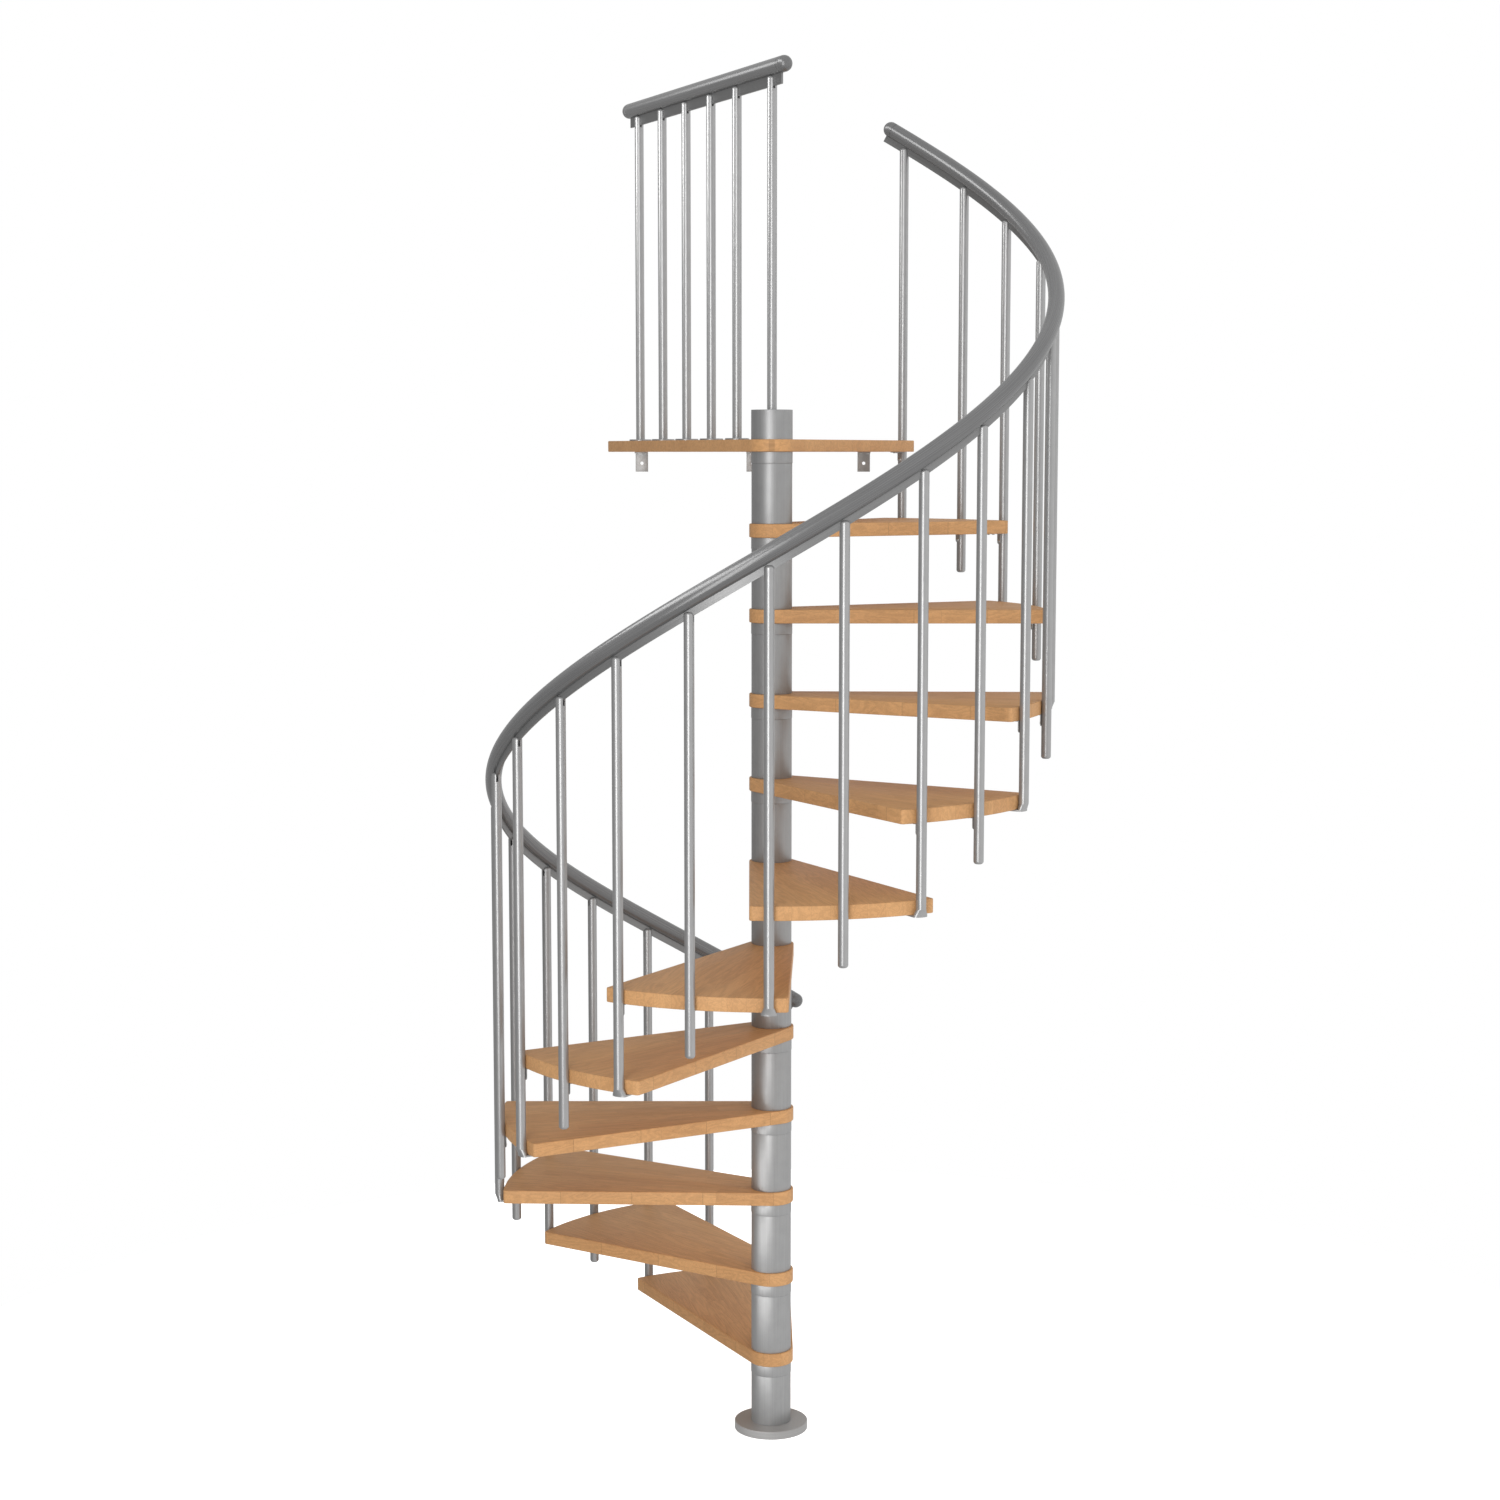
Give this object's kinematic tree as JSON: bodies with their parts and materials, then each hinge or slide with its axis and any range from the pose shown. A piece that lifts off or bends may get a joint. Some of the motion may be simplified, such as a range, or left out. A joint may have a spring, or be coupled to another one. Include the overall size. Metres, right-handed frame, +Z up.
{
  "type": "spiral staircase",
  "caption": "Spiral staircase with wedge-shaped wooden treads on a steel column, tube balusters, a helical handrail and a railed landing.",
  "frame": {"origin": "centre of the floor flange's underside, on the column's axis", "axes": "+Z up along the column, +Y towards the landing's back edge, +X to the right seen from the picture's side"},
  "size_m": [1.3992, 1.5298, 3.3779],
  "materials": {
    "oak_boards": "clear satin varnish",
    "column_paint": "pearl silver powder coat",
    "baluster_paint": "pearl silver powder coat",
    "strip_metal": "grey powder coat",
    "bracket_metal": "grey powder coat",
    "rail_plastic": "satin dark grey"
  },
  "bodies": {
    "root": {"balusters_01": "baluster_paint", "balusters_02": "baluster_paint", "balusters_03": "baluster_paint", "balusters_04": "baluster_paint", "balusters_05": "baluster_paint", "balusters_06": "baluster_paint", "balusters_07": "baluster_paint", "balusters_08": "baluster_paint", "balusters_09": "baluster_paint", "balusters_10": "baluster_paint", "balusters_11": "baluster_paint", "central_pole": "column_paint", "column_baluster": "baluster_paint", "column_sleeves": "column_paint", "first_baluster": "baluster_paint", "floor_flange": "column_paint", "handrail": "rail_plastic", "handrail_caps": "rail_plastic", "handrail_strip": "strip_metal", "landing": "oak_boards", "landing_baluster_feet": "baluster_paint", "landing_balusters": "baluster_paint", "landing_rail": "rail_plastic", "landing_rail_caps": "rail_plastic", "landing_rail_strip": "strip_metal", "spacer_rings": "column_paint", "top_sleeve": "column_paint", "tread_01": "oak_boards", "tread_02": "oak_boards", "tread_03": "oak_boards", "tread_04": "oak_boards", "tread_05": "oak_boards", "tread_06": "oak_boards", "tread_07": "oak_boards", "tread_08": "oak_boards", "tread_09": "oak_boards", "tread_10": "oak_boards", "tread_11": "oak_boards", "tread_brackets": "bracket_metal", "wall_bracket_left": "bracket_metal", "wall_bracket_middle": "bracket_metal", "wall_bracket_right": "bracket_metal"}
  },
  "joints": []
}
